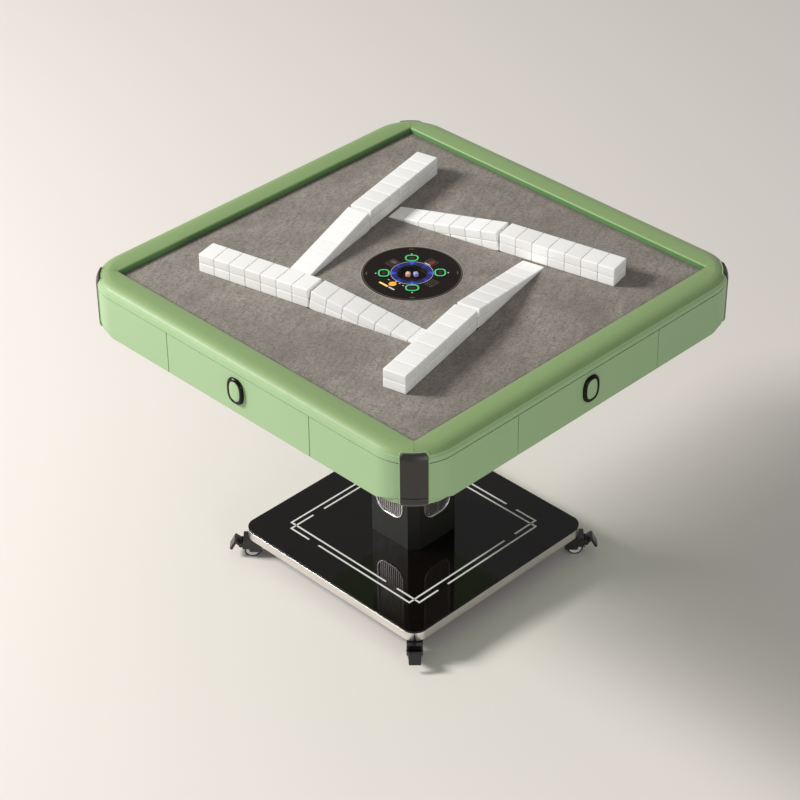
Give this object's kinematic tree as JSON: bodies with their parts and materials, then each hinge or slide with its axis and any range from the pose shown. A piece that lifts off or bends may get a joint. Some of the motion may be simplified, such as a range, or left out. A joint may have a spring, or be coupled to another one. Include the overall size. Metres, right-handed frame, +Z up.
{
  "type": "mahjong table",
  "caption": "Automatic mahjong table: square green body with felt well, tile ramps, rising console, side drawers, square column and black glass base on braked casters.",
  "frame": {"origin": "on the floor, on the column's axis", "axes": "+Z up; the front side with its drawer faces -Y, the right side +X"},
  "size_m": [0.99, 0.99, 0.7693],
  "materials": {
    "rail_green": "satin sage green",
    "panel_green": "satin sage green",
    "tray_green": "satin sage green paint",
    "cap_dark": "satin black-brown",
    "felt": "short brown-grey felt",
    "board": "raw plywood",
    "box_grey": "fine grain",
    "tile": "polished",
    "console": "polished",
    "light": "lit blue",
    "dome": "clear",
    "dice": "polished",
    "button": "polished with a lit ring",
    "black": "satin black",
    "rubber": "matt",
    "steel": "zinc plated",
    "chassis": "powder coat",
    "column": "fine black powder coat",
    "grille": "ribbed",
    "rim": "bright",
    "glass": "black gloss",
    "trim": "satin",
    "hood": "satin black",
    "wheel": "polished ring, dark hub"
  },
  "bodies": {
    "table": {"rail_frame": "rail_green", "corner_caps": "cap_dark", "corner_fascias": "panel_green", "table_board": "board", "felt_top": "felt", "standing_tiles": "tile", "drawer_runners": "steel", "riser_guide": "steel", "drive_units": "chassis", "tile_conveyors": "steel", "chassis_frame": "chassis", "body_tray": "tray_green", "column_shell": "column", "column_grilles": "grille", "grille_rims": "rim", "base_plate": "chassis", "base_glass": "glass", "base_trim": "trim"},
    "console": {"console_plate": "console", "dice_dome": "dome", "light_ring": "light", "dice": "dice"},
    "pan": {"shuffle_pan": "black"},
    "drive": {"drive_wheel": "rubber"},
    "drawer_front": {"drawer_face_front": "panel_green", "drawer_box_front": "box_grey", "drawer_knob_front": "black"},
    "ramp_front": {"ramp_front": "black", "ramp_tiles_front": "tile"},
    "button_front": {"button_front": "button"},
    "drawer_right": {"drawer_face_right": "panel_green", "drawer_box_right": "box_grey", "drawer_knob_right": "black"},
    "ramp_right": {"ramp_right": "black", "ramp_tiles_right": "tile"},
    "button_right": {"button_right": "button"},
    "drawer_back": {"drawer_face_back": "panel_green", "drawer_box_back": "box_grey", "drawer_knob_back": "black"},
    "ramp_back": {"ramp_back": "black", "ramp_tiles_back": "tile"},
    "button_back": {"button_back": "button"},
    "drawer_left": {"drawer_face_left": "panel_green", "drawer_box_left": "box_grey", "drawer_knob_left": "black"},
    "ramp_left": {"ramp_left": "black", "ramp_tiles_left": "tile"},
    "button_left": {"button_left": "button"},
    "caster_front_right": {"caster_hood_front_right": "hood"},
    "wheels_front_right": {"caster_wheels_front_right": "wheel"},
    "pedal_front_right": {"brake_pedal_front_right": "hood"},
    "caster_back_right": {"caster_hood_back_right": "hood"},
    "wheels_back_right": {"caster_wheels_back_right": "wheel"},
    "pedal_back_right": {"brake_pedal_back_right": "hood"},
    "caster_back_left": {"caster_hood_back_left": "hood"},
    "wheels_back_left": {"caster_wheels_back_left": "wheel"},
    "pedal_back_left": {"brake_pedal_back_left": "hood"},
    "caster_front_left": {"caster_hood_front_left": "hood"},
    "wheels_front_left": {"caster_wheels_front_left": "wheel"},
    "pedal_front_left": {"brake_pedal_front_left": "hood"}
  },
  "joints": [
    {"name": "console_lift", "type": "slide", "parent": "table", "child": "console", "axis": [0, 0, 1], "range_m": [0, 0.045]},
    {"name": "pan_spin", "type": "hinge", "parent": "table", "child": "pan", "pos_m": [0, 0, 0.6423], "axis": [0, 0, 1], "continuous": true},
    {"name": "drive_spin", "type": "hinge", "parent": "table", "child": "drive", "pos_m": [0.09764, 0.2193, 0.65], "axis": [0, 0, 1], "continuous": true},
    {"name": "drawer_front_slide", "type": "slide", "parent": "table", "child": "drawer_front", "axis": [0, -1, 0], "range_m": [0, 0.13]},
    {"name": "ramp_front_lift", "type": "hinge", "parent": "table", "child": "ramp_front", "pos_m": [-0.0573, -0.23923, 0.719], "axis": [0.2233, -0.9748, 0], "range_deg": [0, 9.03]},
    {"name": "button_front_press", "type": "slide", "parent": "console", "child": "button_front", "axis": [0, 0, -1], "range_m": [0, 0.0015], "stiffness_N_per_m": 300, "springref_m": -0.002},
    {"name": "drawer_right_slide", "type": "slide", "parent": "table", "child": "drawer_right", "axis": [1, 0, 0], "range_m": [0, 0.13]},
    {"name": "ramp_right_lift", "type": "hinge", "parent": "table", "child": "ramp_right", "pos_m": [0.23923, -0.0573, 0.719], "axis": [0.9748, 0.2233, 0], "range_deg": [0, 9.03]},
    {"name": "button_right_press", "type": "slide", "parent": "console", "child": "button_right", "axis": [0, 0, -1], "range_m": [0, 0.0015], "stiffness_N_per_m": 300, "springref_m": -0.002},
    {"name": "drawer_back_slide", "type": "slide", "parent": "table", "child": "drawer_back", "axis": [0, 1, 0], "range_m": [0, 0.13]},
    {"name": "ramp_back_lift", "type": "hinge", "parent": "table", "child": "ramp_back", "pos_m": [0.0573, 0.23923, 0.719], "axis": [-0.2233, 0.9748, 0], "range_deg": [0, 9.03]},
    {"name": "button_back_press", "type": "slide", "parent": "console", "child": "button_back", "axis": [0, 0, -1], "range_m": [0, 0.0015], "stiffness_N_per_m": 300, "springref_m": -0.002},
    {"name": "drawer_left_slide", "type": "slide", "parent": "table", "child": "drawer_left", "axis": [-1, 0, 0], "range_m": [0, 0.13]},
    {"name": "ramp_left_lift", "type": "hinge", "parent": "table", "child": "ramp_left", "pos_m": [-0.23923, 0.0573, 0.719], "axis": [-0.9748, -0.2233, 0], "range_deg": [0, 9.03]},
    {"name": "button_left_press", "type": "slide", "parent": "console", "child": "button_left", "axis": [0, 0, -1], "range_m": [0, 0.0015], "stiffness_N_per_m": 300, "springref_m": -0.002},
    {"name": "swivel_front_right", "type": "hinge", "parent": "table", "child": "caster_front_right", "pos_m": [0.2484, -0.2484, 0.055], "axis": [0, 0, 1], "continuous": true},
    {"name": "roll_front_right", "type": "hinge", "parent": "caster_front_right", "child": "wheels_front_right", "pos_m": [0.25264, -0.25264, 0.018], "axis": [0.7071, 0.7071, 0], "continuous": true},
    {"name": "brake_front_right", "type": "hinge", "parent": "caster_front_right", "child": "pedal_front_right", "pos_m": [0.27067, -0.27067, 0.03], "axis": [0.7071, 0.7071, 0], "range_deg": [0, 12]},
    {"name": "swivel_back_right", "type": "hinge", "parent": "table", "child": "caster_back_right", "pos_m": [0.2484, 0.2484, 0.055], "axis": [0, 0, 1], "continuous": true},
    {"name": "roll_back_right", "type": "hinge", "parent": "caster_back_right", "child": "wheels_back_right", "pos_m": [0.25264, 0.25264, 0.018], "axis": [-0.7071, 0.7071, 0], "continuous": true},
    {"name": "brake_back_right", "type": "hinge", "parent": "caster_back_right", "child": "pedal_back_right", "pos_m": [0.27067, 0.27067, 0.03], "axis": [-0.7071, 0.7071, 0], "range_deg": [0, 12]},
    {"name": "swivel_back_left", "type": "hinge", "parent": "table", "child": "caster_back_left", "pos_m": [-0.2484, 0.2484, 0.055], "axis": [0, 0, 1], "continuous": true},
    {"name": "roll_back_left", "type": "hinge", "parent": "caster_back_left", "child": "wheels_back_left", "pos_m": [-0.25264, 0.25264, 0.018], "axis": [-0.7071, -0.7071, 0], "continuous": true},
    {"name": "brake_back_left", "type": "hinge", "parent": "caster_back_left", "child": "pedal_back_left", "pos_m": [-0.27067, 0.27067, 0.03], "axis": [-0.7071, -0.7071, 0], "range_deg": [0, 12]},
    {"name": "swivel_front_left", "type": "hinge", "parent": "table", "child": "caster_front_left", "pos_m": [-0.2484, -0.2484, 0.055], "axis": [0, 0, 1], "continuous": true},
    {"name": "roll_front_left", "type": "hinge", "parent": "caster_front_left", "child": "wheels_front_left", "pos_m": [-0.25264, -0.25264, 0.018], "axis": [0.7071, -0.7071, 0], "continuous": true},
    {"name": "brake_front_left", "type": "hinge", "parent": "caster_front_left", "child": "pedal_front_left", "pos_m": [-0.27067, -0.27067, 0.03], "axis": [0.7071, -0.7071, 0], "range_deg": [0, 12]}
  ],
  "couplings": [
    {"joint": "drive_spin", "follows": "pan_spin", "ratio": -11},
    {"joint": "ramp_right_lift", "follows": "ramp_front_lift", "ratio": 1},
    {"joint": "ramp_back_lift", "follows": "ramp_front_lift", "ratio": 1},
    {"joint": "ramp_left_lift", "follows": "ramp_front_lift", "ratio": 1}
  ]
}
